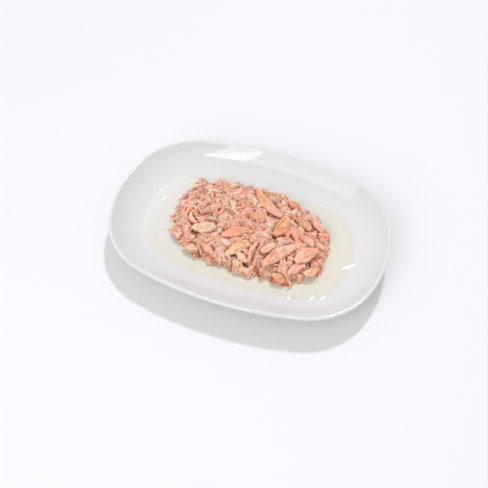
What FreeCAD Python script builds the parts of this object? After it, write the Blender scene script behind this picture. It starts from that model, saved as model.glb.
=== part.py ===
# Flaked tuna in its clear broth, served in an oval-rectangular porcelain dish.
# Millimetres. +X runs along the dish, +Y across it, +Z up; the origin is on the table under its middle.
import FreeCAD, Part
import math
import os
import random

import Sketcher
from FreeCAD import Placement, Rotation, Vector

document = FreeCAD.newDocument("FlakedTunaDish")
sheet = document.addObject("Spreadsheet::Sheet", "Sizes")

# Driving dimensions: name, value in millimetres and what it measures
sizes = (
    ("dishLength", 220.0, "dish over the rim, along X"),
    ("dishWidth", 153.4, "dish over the rim, along Y"),
    ("dishHeight", 25.0, "table to the top of the rim"),
    ("sideArcRadius", 274.0, "rim outline along the long sides"),
    ("endArcRadius", 103.0, "rim outline across the two ends"),
    ("cornerStep", 18.7, "how much less the corner radius is than half the dish's width"),
    ("wallThickness", 3.0, "wall, which ends in a fully rounded lip"),
    ("floorInset", 36.0, "rim to the edge of the flat floor"),
    ("floorThickness", 3.8, "floor inside the foot ring"),
    ("footHeight", 3.6, "table to the underside, inside the foot ring"),
    ("footStep", 2.0, "outside of the foot ring beyond the edge of the flat floor"),
    ("footWidth", 4.0, "foot ring, outside to inside"),
    ("footRounding", 0.9, "edges of the foot ring's resting face"),
    ("seamMargin", 2.0, "inside of the foot ring to where the swept ring meets the flat middle"),
    ("brothDepth", 1.8, "broth over the flat floor"),
    ("heapEndMargin", 44.5, "rim to the heap of flakes at each end"),
    ("heapSideMargin", 35.7, "rim to the heap of flakes along each side"),
    ("heapHeight", 10.5, "floor to the crown of the heap"),
    ("heapShiftX", -1.2, "middle of the heap from the middle of the dish"),
    ("heapShiftY", 3.8, "middle of the heap from the middle of the dish"),
    ("heapBedding", 1.0, "how far the loose heap is let into the floor before it is trimmed"),
    ("coreInset", 2.6, "heap's outline to its solid core, inside the loose flakes"),
    ("smallFlakeLength", 15.0, "middling small flake, end to end"),
    ("smallFlakeWidth", 8.6, "middling small flake, side to side"),
    ("smallFlakeThickness", 4.6, "middling small flake, top to bottom"),
    ("largeFlakeThickness", 7.0, "middling large flake, top to bottom"),
)

# Sizes that follow from them
derivedSizes = (
    ("cornerArcRadius", "=dishWidth / 2 - cornerStep", "rim outline round the four corners"),
    ("floorLevel", "=footHeight + floorThickness", "table to the floor of the basin"),
    ("basinDepth", "=dishHeight - floorLevel", "top of the rim down to the floor"),
    ("brothLevel", "=floorLevel + brothDepth", "table to the broth"),
    ("footInset", "=floorInset - footStep", "rim to the outside of the foot ring"),
    ("seamInset", "=footInset + footWidth + seamMargin", "rim to the seam of the flat middle"),
    ("heapLength", "=dishLength - 2 * heapEndMargin", "heap of flakes, along X"),
    ("heapWidth", "=dishWidth - 2 * heapSideMargin", "heap of flakes, along Y"),
    (
        "wallMidRadius",
        "=((floorInset - wallThickness / 2) ^ 2 + basinDepth ^ 2) / (2 * basinDepth)",
        "middle of the wall: level at the floor, through the middle of the lip",
    ),
    ("wallRadius", "=wallMidRadius - wallThickness / 2", "inner face of the wall"),
)

# Large flakes, by hand, in the order in which they lie on one another, top ones first:
# place along and across the heap as shares of its half sizes, turn in degrees, length, width,
# share of the usual thickness, and how blunt the ends are
largeFlakes = (
    (0.46, -0.48, 54, 35.0, 11.5, 1.10, 0.40),
    (0.75, -0.30, 50, 22.5, 12.0, 1.05, 0.60),
    (-0.13, -0.29, 34, 24.0, 10.5, 1.05, 0.55),
    (-0.50, -0.35, 28, 20.0, 10.5, 1.00, 0.85),
    (0.13, 0.58, -37, 38.0, 11.0, 0.95, 0.35),
    (-0.02, -0.59, 45, 23.0, 9.5, 0.90, 0.50),
    (0.39, 0.11, 66, 21.0, 10.5, 0.95, 0.75),
    (0.32, -0.42, 52, 15.0, 7.5, 0.85, 0.60),
    (0.18, -0.60, 86, 21.0, 6.0, 0.75, 0.60),
    (0.71, -0.67, 46, 16.0, 7.5, 0.80, 0.60),
    (0.62, 0.35, -32, 17.5, 8.5, 0.85, 0.65),
    (0.55, 0.06, -58, 14.5, 6.5, 0.85, 0.60),
    (0.73, 0.00, -24, 14.0, 7.5, 0.80, 0.65),
    (-0.67, -0.23, -48, 14.0, 5.5, 0.70, 0.55),
    (-0.36, -0.77, -26, 15.0, 6.5, 0.75, 0.50),
    (0.88, -0.57, 46, 15.0, 7.5, 0.80, 0.70),
    (0.06, -0.75, -30, 15.0, 6.5, 0.70, 0.50),
    (-0.57, -0.80, -12, 12.0, 7.0, 0.75, 0.60),
    (0.55, -0.91, -14, 12.0, 7.0, 0.75, 0.80),
    (0.78, 0.45, -40, 14.0, 8.0, 0.80, 0.60),
    (0.41, 0.73, -28, 14.0, 7.5, 0.75, 0.60),
    (-0.50, 0.09, 48, 18.0, 7.0, 0.75, 0.60),
    (0.22, 0.89, 62, 9.5, 7.0, 0.80, 0.80),
    (-0.82, -0.57, -36, 12.0, 8.0, 0.75, 0.75),
)

# Bulges and notches of the heap's outline: direction in degrees, reach in millimetres, spread in degrees
outlineBulges = (
    (7, 2.2, 5),
    (16, -1.5, 5),
    (43, -1.0, 9),
    (75, 3.6, 5),
    (127, 2.0, 8),
    (150, 6.2, 6),
    (165, -2.6, 5),
    (176, -1.6, 5),
    (187, -2.0, 6),
    (197, -1.0, 5),
    (232, 1.0, 8),
    (254, -1.6, 6),
    (268, -1.6, 6),
    (284, -4.5, 6),
    (302, -7.0, 6),
    (318, 3.6, 7),
    (337, -1.5, 5),
    (351, 2.6, 7),
)

heapSquareness = 2.6      # exponent of the heap's outline: 2 is an ellipse
heapSkew = 0.05           # how much further two opposite corners reach than the other two
moundShoulder = 5.0       # exponents of the mound's section: flat on top, steep at the edge
moundCrown = 2.2
coreSides = 40
coreCrown = 0.86          # height of the solid core as a share of the mound's
steepestLean = 30         # degrees from upright, of what lies near the edge
coreRises = (0.3, 0.55, 0.78, 0.93)  # levels of the core between its bedding and its crown, as shares
coreTop = 0.985           # how near the mound's own crown the topmost level of the core is shaped
normalStep = 1.5          # millimetres to each side of a point for the slope of the mound there

smallFlakeCount = 58      # over the top of the heap
edgeFlakeCount = 27       # round its foot
smallFlakeSides, smallFlakeStations = 6, 3
largeFlakeSides, largeFlakeStations = 7, 5

# Ranges that each flake is drawn from
sideJitter = 0.55             # how unevenly the corners of its section are spaced, as a share of one side
bendRange = (0.05, 0.25)      # bend of its back, as a share of its thickness
swayRange = (-0.2, 0.2)       # sideways bow, as a share of its width
bellyRange = (-0.1, 0.1)      # how far before or past the middle it is fullest
unevenRange = (0.93, 1.07)    # each section, as a share of the even taper
lengthRange, widthRange, thicknessRange = (0.7, 1.35), (0.75, 1.25), (0.8, 1.2)  # shares of the middling
bluntRange = (0.5, 0.85)      # its torn ends, as a share of its fullest section

# Loose flakes over the mound
spiralShare = 0.9             # reach of their spiral, as a share of the heap's outline
spiralJitter = 0.12           # unevenness of their directions, radians
spiralLean = (12, 8)          # spread of their roll and pitch, degrees
spiralRise = (-0.3, 0.08)     # their middles over the mound, as shares of the middling thickness
largeFlakeRise = 0.05         # the same for a large flake, as a share of its own thickness

# Loose flakes round the foot
edgeJitter = 0.2              # unevenness of their spacing, as a share of it
edgeShare = 0.75              # their length and width, as a share of the others'
edgeInset = 0.36              # their middles inside the heap's outline, as a share of the middling width
edgeRise = (0.3, 0.9)         # their middles over the floor, as shares of the middling thickness
edgeLean = (28, 8, 14)        # spread of their turn, roll and pitch, degrees


def fillSheet():
    """Write every size and derived size into the sheet, one row each, with its alias."""
    for row, (alias, value, note) in enumerate(sizes + derivedSizes, 1):
        sheet.set(f"A{row}", alias)
        sheet.set(f"B{row}", str(value))
        sheet.set(f"C{row}", note)
        sheet.setAlias(f"B{row}", alias)
    document.recompute()


def size(alias):
    return float(sheet.get(alias))


def originPlane(body, role):
    return next(plane for plane in body.Origin.OriginFeatures if plane.Role == role)


def newSketch(body, name, role):
    sketch = body.newObject("Sketcher::SketchObject", name)
    sketch.AttachmentSupport = [(originPlane(body, role), "")]
    sketch.MapMode = "FlatFace"
    return sketch


def constrain(sketch, kind, *where, rule=None, value=0.0):
    """Add one constraint; a rule ties its value to the sheet."""
    if rule is None:
        sketch.addConstraint(Sketcher.Constraint(kind, *where))
        return
    number = sketch.addConstraint(Sketcher.Constraint(kind, *where, value))
    sketch.setExpression(f"Constraints[{number}]", rule)


def circleArc(x, y, radius, start, stop):
    return Part.ArcOfCircle(Part.Circle(Vector(x, y, 0), Vector(0, 0, 1), radius), start, stop)


def outlineSketch(body, name, insetAlias=None):
    """The rim's outline, or a curve inside it at a constant inset: two side arcs, two end arcs and
    four corner arcs, all tangent. The right end arc is split on the X axis, where the wall's profile
    stands on the curve."""
    inset = size(insetAlias) if insetAlias else 0.0
    halfLength = size("dishLength") / 2 - inset
    halfWidth = size("dishWidth") / 2 - inset
    side = size("sideArcRadius") - inset
    end = size("endArcRadius") - inset
    corner = size("cornerArcRadius") - inset
    sideY = halfWidth - side
    endX = halfLength - end
    # the corner arc's middle is side - corner from the side arc's middle and end - corner from the end arc's
    span = math.hypot(endX, sideY)
    along = ((side - corner) ** 2 - (end - corner) ** 2 + span ** 2) / (2 * span)
    off = math.sqrt((side - corner) ** 2 - along ** 2)
    cornerX = (along * endX - off * sideY) / span
    cornerY = sideY + (-along * sideY + off * -endX) / span
    endTurn = math.atan2(cornerY, cornerX - endX)
    sideTurn = math.atan2(cornerY - sideY, cornerX)
    half = math.pi
    arcs = (
        (endX, 0, end, 0, endTurn),
        (cornerX, cornerY, corner, endTurn, sideTurn),
        (0, sideY, side, sideTurn, half - sideTurn),
        (-cornerX, cornerY, corner, half - sideTurn, half - endTurn),
        (-endX, 0, end, half - endTurn, half + endTurn),
        (-cornerX, -cornerY, corner, half + endTurn, half + sideTurn),
        (0, -sideY, side, half + sideTurn, 2 * half - sideTurn),
        (cornerX, -cornerY, corner, 2 * half - sideTurn, 2 * half - endTurn),
        (endX, 0, end, 2 * half - endTurn, 2 * half),
    )
    sketch = newSketch(body, name, "XY_Plane")
    sketch.addGeometry([circleArc(*arc) for arc in arcs], False)
    first, last = 0, len(arcs) - 1
    for number in range(last):
        constrain(sketch, "Tangent", number, 2, number + 1, 1)
    constrain(sketch, "Coincident", last, 2, first, 1)
    constrain(sketch, "Coincident", last, 3, first, 3)
    constrain(sketch, "PointOnObject", first, 1, -1)
    less = f" - Sizes.{insetAlias}" if insetAlias else ""
    sameRadius = (("endArcRadius", (0, 4)), ("sideArcRadius", (2, 6)), ("cornerArcRadius", (1, 3, 5, 7)))
    for alias, numbers in sameRadius:
        for number in numbers:
            constrain(sketch, "Radius", number, rule=f"Sizes.{alias}{less}", value=arcs[number][2])
    endRule = "Sizes.dishLength / 2 - Sizes.endArcRadius"
    sideRule = "Sizes.dishWidth / 2 - Sizes.sideArcRadius"
    centres = (
        (0, endRule, "0 * Sizes.dishLength"),
        (2, "0 * Sizes.dishWidth", sideRule),
        (4, f"-({endRule})", "0 * Sizes.dishLength"),
        (6, "0 * Sizes.dishWidth", f"-({sideRule})"),
    )
    for number, ruleX, ruleY in centres:
        constrain(sketch, "DistanceX", number, 3, rule=ruleX, value=arcs[number][0])
        constrain(sketch, "DistanceY", number, 3, rule=ruleY, value=arcs[number][1])
    return sketch


def ringProfile(body, name):
    """The dish's section at its right end: wall with a round lip, foot ring, and the rim of the floor."""
    rim, top = size("dishLength") / 2, size("dishHeight")
    lip = size("wallThickness") / 2
    floor, recess = size("floorLevel"), size("footHeight")
    inner = size("wallRadius")
    outer = inner + 2 * lip
    centreX, centreY = rim - size("floorInset"), floor + inner
    turn = math.asin((rim - lip - centreX) / size("wallMidRadius"))
    footX = rim - size("footInset")
    footTurn = math.asin((footX - centreX) / outer)
    footTop = centreY - outer * math.cos(footTurn)
    footInnerX = footX - size("footWidth")
    seamX = rim - size("seamInset")
    down = -math.pi / 2
    corners = [Vector(footX, footTop), Vector(footX, 0), Vector(footInnerX, 0), Vector(footInnerX, recess)]
    corners += [Vector(seamX, recess), Vector(seamX, floor), Vector(centreX, floor)]
    sketch = newSketch(body, name, "XZ_Plane")
    sketch.addGeometry(
        [
            circleArc(rim - lip, top - lip, lip, turn + down, turn - down),
            circleArc(centreX, centreY, inner, down, down + turn),
            circleArc(centreX, centreY, outer, down + footTurn, down + turn),
        ]
        + [Part.LineSegment(start, stop) for start, stop in zip(corners, corners[1:])],
        False,
    )
    lipArc, innerArc, outerArc, footOut, footFace, footIn, underside, seam, floorLine = range(9)
    constrain(sketch, "Tangent", lipArc, 1, outerArc, 2)
    constrain(sketch, "Tangent", lipArc, 2, innerArc, 2)
    constrain(sketch, "Coincident", innerArc, 3, outerArc, 3)
    constrain(sketch, "Tangent", floorLine, 2, innerArc, 1)
    constrain(sketch, "Coincident", outerArc, 1, footOut, 1)
    for line in (footOut, footFace, footIn, underside, seam):
        constrain(sketch, "Coincident", line, 2, line + 1, 1)
    for line in (footOut, footIn, seam):
        constrain(sketch, "Vertical", line)
    for line in (footFace, underside, floorLine):
        constrain(sketch, "Horizontal", line)
    half = "Sizes.dishLength / 2"
    constrain(sketch, "Radius", lipArc, rule="Sizes.wallThickness / 2", value=lip)
    for kind, where, rule, value in (
        ("DistanceX", (lipArc, 3), f"{half} - Sizes.wallThickness / 2", rim - lip),
        ("DistanceY", (lipArc, 3), "Sizes.dishHeight - Sizes.wallThickness / 2", top - lip),
        ("DistanceX", (innerArc, 3), f"{half} - Sizes.floorInset", centreX),
        ("DistanceY", (floorLine, 1), "Sizes.floorLevel", floor),
        ("DistanceX", (footOut, 1), f"{half} - Sizes.footInset", footX),
        ("DistanceX", (footIn, 1), f"{half} - Sizes.footInset - Sizes.footWidth", footInnerX),
        ("DistanceY", (underside, 1), "Sizes.footHeight", recess),
        ("DistanceX", (seam, 1), f"{half} - Sizes.seamInset", seamX),
    ):
        constrain(sketch, kind, *where, rule=rule, value=value)
    constrain(sketch, "PointOnObject", footFace, 1, -1)
    return sketch


def brothProfile(body, name):
    """The broth's section from the seam out to where its level meets the wall."""
    rim = size("dishLength") / 2
    floor, level, radius = size("floorLevel"), size("brothLevel"), size("wallRadius")
    seamX, centreX = rim - size("seamInset"), rim - size("floorInset")
    turn = math.acos(1 - size("brothDepth") / radius)
    shoreX = centreX + radius * math.sin(turn)
    down = -math.pi / 2
    corners = [Vector(shoreX, level), Vector(seamX, level), Vector(seamX, floor), Vector(centreX, floor)]
    sketch = newSketch(body, name, "XZ_Plane")
    sketch.addGeometry(
        [circleArc(centreX, floor + radius, radius, down, down + turn)]
        + [Part.LineSegment(start, stop) for start, stop in zip(corners, corners[1:])],
        False,
    )
    shore, surface, seam, bottom = range(4)
    constrain(sketch, "Coincident", shore, 2, surface, 1)
    constrain(sketch, "Coincident", surface, 2, seam, 1)
    constrain(sketch, "Coincident", seam, 2, bottom, 1)
    constrain(sketch, "Tangent", bottom, 2, shore, 1)
    constrain(sketch, "Horizontal", surface)
    constrain(sketch, "Vertical", seam)
    constrain(sketch, "Horizontal", bottom)
    half = "Sizes.dishLength / 2"
    constrain(sketch, "Radius", shore, rule="Sizes.wallRadius", value=radius)
    constrain(sketch, "DistanceX", shore, 3, rule=f"{half} - Sizes.floorInset", value=centreX)
    constrain(sketch, "DistanceY", bottom, 1, rule="Sizes.floorLevel", value=floor)
    constrain(sketch, "DistanceY", surface, 1, rule="Sizes.brothLevel", value=level)
    constrain(sketch, "DistanceX", seam, 1, rule=f"{half} - Sizes.seamInset", value=seamX)
    return sketch


def ringAndMiddle(name, profileSketch, middleBottom, middleTop):
    """A body made of a profile swept round the rim's outline and a flat plate that fills its middle."""
    body = document.addObject("PartDesign::Body", name)
    seam = outlineSketch(body, f"{name}Seam", "seamInset")
    seam.setExpression("AttachmentOffset.Base.z", f"Sizes.{middleBottom}")
    plate = body.newObject("PartDesign::Pad", f"{name}Middle")
    plate.Profile = seam
    plate.setExpression("Length", f"Sizes.{middleTop} - Sizes.{middleBottom}")
    path = outlineSketch(body, f"{name}Path")
    profile = profileSketch(body, f"{name}Profile")
    document.recompute()
    ring = body.newObject("PartDesign::AdditivePipe", f"{name}Ring")
    ring.Profile = profile
    ring.Spine = path
    ring.Mode = "Frenet"
    ring.Refine = True
    document.recompute()
    return body


def roundFoot(body):
    """Round both edges of the face that the foot ring rests on."""
    base = body.Tip
    edges = [
        f"Edge{number}"
        for number, edge in enumerate(base.Shape.Edges, 1)
        if max(abs(vertex.Z) for vertex in edge.Vertexes) < 1e-6
    ]
    rounding = body.newObject("PartDesign::Fillet", "FootRounding")
    rounding.Base = (base, edges)
    rounding.setExpression("Radius", "min(Sizes.footRounding; Sizes.footWidth / 2.2)")
    document.recompute()


def outlineRadius(angle, halfLength, halfWidth):
    """Reach of the heap's outline from its middle, in the direction of the angle."""
    across = abs(math.cos(angle) / halfLength) ** heapSquareness
    along = abs(math.sin(angle) / halfWidth) ** heapSquareness
    return (across + along) ** (-1 / heapSquareness) * (1 - heapSkew * math.sin(2 * angle))


def bulge(angle):
    """What the outline's bulges and notches add to its reach, in millimetres."""
    total = 0.0
    for centre, reach, spread in outlineBulges:
        away = (math.degrees(angle) - centre + 180) % 360 - 180
        total += reach * math.exp(-((away / spread) ** 2))
    return total


def moundHeight(x, y):
    """Height of the smooth mound over the floor, x and y from the heap's middle."""
    reach = outlineRadius(math.atan2(y, x), size("heapLength") / 2, size("heapWidth") / 2)
    share = min(math.hypot(x, y) / reach, 1.0)
    return size("heapHeight") * (1 - share ** moundShoulder) ** (1 / moundCrown)


def moundTilt(x, y):
    """Rotation from upright to the mound's normal, which leans out towards the edge, up to a limit."""
    step = normalStep
    slopeX = (moundHeight(x + step, y) - moundHeight(x - step, y)) / (2 * step)
    slopeY = (moundHeight(x, y + step) - moundHeight(x, y - step)) / (2 * step)
    slope = math.hypot(slopeX, slopeY)
    ease = min(1.0, math.tan(math.radians(steepestLean)) / max(slope, 1e-9))
    return Rotation(Vector(0, 0, 1), Vector(-slopeX * ease, -slopeY * ease, 1))


def stackedSolid(sections):
    """A solid between flat faces: each section is the same polygon scaled and shifted, so every side
    face is flat too."""
    faces = [Part.Face(Part.makePolygon(section + section[:1])) for section in (sections[0], sections[-1])]
    for lower, upper in zip(sections, sections[1:]):
        for corner in range(len(lower)):
            after = (corner + 1) % len(lower)
            ring = [lower[corner], lower[after], upper[after], upper[corner], lower[corner]]
            faces.append(Part.Face(Part.makePolygon(ring)))
    solid = Part.Solid(Part.Shell(faces))
    if solid.Volume < 0:
        solid.reverse()
    return solid


def flakeSolid(length, width, thickness, blunt, sides, stations, draw):
    """A flake of cooked fish: uneven rounded polygon section, fullest before the middle, narrowing to
    torn ends, with its back bent a little and swayed to one side."""
    angles = [2 * math.pi * (side + sideJitter * draw.random()) / sides for side in range(sides)]
    polygon = [(width / 2 * math.cos(angle), thickness / 2 * math.sin(angle)) for angle in angles]
    bend = thickness * draw.uniform(*bendRange)
    sway = width * draw.uniform(*swayRange)
    belly = draw.uniform(*bellyRange)
    sections = []
    for station in range(stations):
        along = 2 * station / (stations - 1) - 1
        full = 1 - (along + belly * (1 - along * along)) ** 2
        scale = blunt + (1 - blunt) * math.sqrt(max(full, 0.0))
        scale *= draw.uniform(*unevenRange)
        place = Vector(along * length / 2, sway * (1 - along * along), -bend * along * along)
        sections.append([place + Vector(0, y * scale, z * scale) for y, z in polygon])
    return stackedSolid(sections)


def layOnMound(solid, x, y, turn, rise, roll=0.0, pitch=0.0):
    """Lay a flake on the mound at x, y from the heap's middle, turned about the mound's normal, with
    its middle the given rise over the mound's surface."""
    level = size("floorLevel") + moundHeight(x, y) + rise
    middle = Vector(size("heapShiftX") + x, size("heapShiftY") + y, level)
    solid.Placement = Placement(middle, moundTilt(x, y) * Rotation(turn, pitch, roll))


def coreSolid():
    """The heap's core: the outline stacked up to the crown, each level as wide as the mound there."""
    halfLength, halfWidth = size("heapLength") / 2, size("heapWidth") / 2
    angles = [2 * math.pi * side / coreSides for side in range(coreSides)]
    outline = [
        (outlineRadius(angle, halfLength, halfWidth) + bulge(angle) - size("coreInset"), angle)
        for angle in angles
    ]
    middle = Vector(size("heapShiftX"), size("heapShiftY"), size("floorLevel"))
    crown = coreCrown * size("heapHeight")
    sections = []
    for rise in [-size("heapBedding")] + [share * crown for share in coreRises] + [crown]:
        scale = (1 - (coreTop * max(rise, 0.0) / crown) ** moundCrown) ** (1 / moundShoulder)
        sections.append(
            [
                middle + Vector(scale * reach * math.cos(angle), scale * reach * math.sin(angle), rise)
                for reach, angle in outline
            ]
        )
    return stackedSolid(sections)


def smallFlake(draw, share=1.0):
    length = size("smallFlakeLength") * draw.uniform(*lengthRange) * share
    width = size("smallFlakeWidth") * draw.uniform(*widthRange) * share
    thickness = size("smallFlakeThickness") * draw.uniform(*thicknessRange)
    blunt = draw.uniform(*bluntRange)
    return flakeSolid(length, width, thickness, blunt, smallFlakeSides, smallFlakeStations, draw)


def smallFlakes():
    """Loose flakes over the mound on a sunflower spiral, and more round its foot along the outline."""
    draw = random.Random(11)
    golden = math.pi * (3 - math.sqrt(5))
    halfLength, halfWidth = size("heapLength") / 2, size("heapWidth") / 2
    flakes = []
    for number in range(smallFlakeCount):
        angle = number * golden + draw.uniform(-spiralJitter, spiralJitter)
        reach = spiralShare * math.sqrt((number + 0.5) / smallFlakeCount)
        reach *= outlineRadius(angle, halfLength, halfWidth)
        flake = smallFlake(draw)
        turn, roll, pitch = draw.uniform(0, 360), draw.gauss(0, spiralLean[0]), draw.gauss(0, spiralLean[1])
        rise = draw.uniform(*spiralRise) * size("smallFlakeThickness")
        layOnMound(flake, reach * math.cos(angle), reach * math.sin(angle), turn, rise, roll, pitch)
        flakes.append(flake)
    for number in range(edgeFlakeCount):
        angle = 2 * math.pi * (number + draw.uniform(-edgeJitter, edgeJitter)) / edgeFlakeCount
        flake = smallFlake(draw, edgeShare)
        reach = outlineRadius(angle, halfLength, halfWidth) + bulge(angle)
        reach -= edgeInset * size("smallFlakeWidth")
        rise = size("smallFlakeThickness") * draw.uniform(*edgeRise)
        turn = math.degrees(angle) + 90 + draw.gauss(0, edgeLean[0])
        middle = Vector(
            size("heapShiftX") + reach * math.cos(angle),
            size("heapShiftY") + reach * math.sin(angle),
            size("floorLevel") + rise,
        )
        roll, pitch = draw.gauss(0, edgeLean[1]), draw.gauss(0, edgeLean[2])
        flake.Placement = Placement(middle, Rotation(turn, roll, pitch))
        flakes.append(flake)
    return flakes


def solidObject(name, shape):
    thing = document.addObject("Part::Feature", name)
    thing.Shape = shape
    return thing


def cutAway(name, base, tools):
    """Base without the tools that reach into its box, which seats it face to face against them."""
    box = base.Shape.optimalBoundingBox()
    near = [tool for tool in tools if box.intersect(tool.Shape.optimalBoundingBox())]
    if not near:
        return base
    if len(near) == 1:
        tool = near[0]
    else:
        tool = document.addObject("Part::MultiFuse", f"{name}Neighbours")
        tool.Shapes = near
    cut = document.addObject("Part::Cut", name)
    cut.Base = base
    cut.Tool = tool
    document.recompute()
    return cut


def layLargeFlakes():
    """The large flakes, each trimmed by those that lie over it."""
    laid = []
    for number, (along, across, turn, length, width, share, blunt) in enumerate(largeFlakes, 1):
        thickness = share * size("largeFlakeThickness")
        draw = random.Random(100 + number)
        shape = flakeSolid(length, width, thickness, blunt, largeFlakeSides, largeFlakeStations, draw)
        x, y = along * size("heapLength") / 2, across * size("heapWidth") / 2
        layOnMound(shape, x, y, turn, largeFlakeRise * thickness)
        loose = solidObject(f"LooseFlake{number}", shape)
        flake = cutAway(f"TrimmedFlake{number}", loose, laid)
        flake.Label = f"large_flake_{number:02d}"
        laid.append(flake)
    return laid


def pileUp(largeOnes, dish):
    """The rest of the heap: core and small flakes in one piece, trimmed by the dish and the large flakes."""
    loose = solidObject("LooseHeap", coreSolid().multiFuse(smallFlakes()))
    inDish = cutAway("HeapInDish", loose, [dish])
    trimmed = cutAway("HeapRoundLargeFlakes", inDish, largeOnes)
    # a crumb that the large flakes cut off is not part of the heap
    heap = solidObject("Heap", max(trimmed.Shape.Solids, key=lambda solid: solid.Volume))
    heap.Label = "flake_heap"
    return heap


def checkAndExport(subParts):
    """Every object is up to date and every sub-part one valid solid before anything is written."""
    for thing in document.Objects:
        if "Invalid" in thing.State or "Error" in thing.State:
            raise RuntimeError(f"{thing.Name} failed: {thing.State}")
    for thing in subParts:
        shape = thing.Shape
        if shape.isNull() or not shape.isValid() or len(shape.Solids) != 1:
            raise RuntimeError(f"{thing.Label} is not one valid solid")
    os.makedirs("parts", exist_ok=True)
    for thing in subParts:
        thing.Shape.exportStep(f"parts/{thing.Label}.step")
        print(f"{thing.Label}: {thing.Shape.Volume / 1000:.2f} ml, {len(thing.Shape.Faces)} faces")


def main():
    fillSheet()
    dish = ringAndMiddle("Dish", ringProfile, "footHeight", "floorLevel")
    roundFoot(dish)
    dish.Label = "dish"
    large = layLargeFlakes()
    heap = pileUp(large, dish)
    broth = ringAndMiddle("Pool", brothProfile, "floorLevel", "brothLevel")
    # one neighbour after the other, the heap last: the pool's swept faces are cut by single solids alone
    for neighbour in large + [heap]:
        broth = cutAway(f"PoolRound{neighbour.Name}", broth, [neighbour])
    broth.Label = "broth"
    checkAndExport([dish, broth, heap] + large)


main()
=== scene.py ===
# Flaked tuna in clear broth, on an oval-rectangular glazed porcelain dish.
# Lengths in the dictionaries are millimetres and angles degrees, unless a note says otherwise.
import math

import bpy
import numpy as np
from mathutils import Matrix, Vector
from mathutils.bvhtree import BVHTree


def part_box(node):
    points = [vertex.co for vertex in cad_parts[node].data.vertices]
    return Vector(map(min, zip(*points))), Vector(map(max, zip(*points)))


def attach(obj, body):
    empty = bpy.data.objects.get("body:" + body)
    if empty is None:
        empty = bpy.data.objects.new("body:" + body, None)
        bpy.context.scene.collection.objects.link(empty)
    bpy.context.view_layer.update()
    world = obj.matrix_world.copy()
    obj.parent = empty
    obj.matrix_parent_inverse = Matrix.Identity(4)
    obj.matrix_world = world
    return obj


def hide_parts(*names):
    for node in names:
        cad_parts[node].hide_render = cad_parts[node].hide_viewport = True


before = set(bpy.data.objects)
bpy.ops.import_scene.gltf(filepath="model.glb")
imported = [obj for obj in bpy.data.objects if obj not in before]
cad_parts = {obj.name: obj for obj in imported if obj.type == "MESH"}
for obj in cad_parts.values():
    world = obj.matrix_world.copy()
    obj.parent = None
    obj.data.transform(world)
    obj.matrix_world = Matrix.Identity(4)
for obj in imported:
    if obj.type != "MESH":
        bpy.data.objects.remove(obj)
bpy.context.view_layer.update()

mm = 0.001
tau = 2 * math.pi
scene = bpy.context.scene
print("frame loaded:", len(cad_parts), "nodes")


def hexToLinear(code):
    # sRGB to linear: c / 12.92 below 0.04045, else ((c + 0.055) / 1.055) ^ 2.4
    channels = np.array([int(code[k:k + 2], 16) for k in (1, 3, 5)]) / 255
    return np.where(channels <= 0.04045, channels / 12.92, ((channels + 0.055) / 1.055) ** 2.4)


def rgba(code):
    return (*hexToLinear(code), 1.0)


def addNode(tree, kind, settings=None, links=None):
    # one shader node of any kind: settings name its own properties or inputs, links join inputs to sockets
    node = tree.nodes.new("ShaderNode" + kind)
    for name, value in (settings or {}).items():
        if isinstance(name, str) and hasattr(node, name):
            setattr(node, name, value)
        else:
            node.inputs[name].default_value = value
    for name, socket in (links or {}).items():
        tree.links.new(socket, node.inputs[name])
    return node


def newMaterial(name):
    material = bpy.data.materials.new(name)
    material.use_nodes = True
    material.node_tree.nodes.clear()
    return material, material.node_tree


def gridFaces(rows, columns, closeRows=False, closeColumns=False):
    # quads of a rows x columns grid of points, with the seams closed where asked
    row = np.arange(rows if closeRows else rows - 1)[:, None]
    column = np.arange(columns if closeColumns else columns - 1)[None, :]
    nextRow, nextColumn = (row + 1) % rows, (column + 1) % columns
    corners = (
        row * columns + column,
        row * columns + nextColumn,
        nextRow * columns + nextColumn,
        nextRow * columns + column,
    )
    shape = (row.size, column.size)
    return np.stack([np.broadcast_to(corner, shape) for corner in corners], -1).reshape(-1, 4)


def fanFaces(centre, ring):
    # triangles from one point to a closed ring of points, which closes a pole
    return np.stack([np.full(len(ring), centre), ring, np.roll(ring, -1)], -1)


def shellFaces(count, rows, columns, reverse=False):
    # faces of closed shells, each a stack of rings with a fan to a pole at both ends; the two poles follow
    # each shell's rings
    ring = np.arange(columns)
    first = fanFaces(rows * columns, ring)[:, ::-1]
    last = fanFaces(rows * columns + 1, (rows - 1) * columns + ring)
    step = (np.arange(count) * (rows * columns + 2))[:, None, None]
    quads = (gridFaces(rows, columns, closeColumns=True) + step).reshape(-1, 4)
    triangles = (np.concatenate([first, last]) + step).reshape(-1, 3)
    return [quads[:, ::-1], triangles[:, ::-1]] if reverse else [quads, triangles]


def makePiece(name, points, faces, material, uv=None, colour=None):
    # one mesh object: points in millimetres, uv and colour for each point, as arrays of any shape
    mesh, points = bpy.data.meshes.new(name), points.reshape(-1, 3)
    mesh.from_pydata((points * mm).tolist(), [], [face.tolist() for part in faces for face in part])
    if uv is not None:
        corner = np.empty(len(mesh.loops), np.int32)
        mesh.loops.foreach_get("vertex_index", corner)
        values = uv.reshape(-1, 2)[corner].astype(np.float32)
        mesh.uv_layers.new(name="fibreMap").data.foreach_set("uv", values.ravel())
    if colour is not None:
        values = np.ones((len(points), 4), np.float32)
        values[:, :3] = colour.reshape(-1, 3)
        layer = mesh.color_attributes.new("pieceColour", "FLOAT_COLOR", "POINT")
        layer.data.foreach_set("color", values.ravel())
    mesh.polygons.foreach_set("use_smooth", np.ones(len(mesh.polygons), bool))
    mesh.materials.append(material)
    piece = bpy.data.objects.new(name, mesh)
    scene.collection.objects.link(piece)
    return piece


noiseCells = 64              # the noise repeats after this many cells


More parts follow.
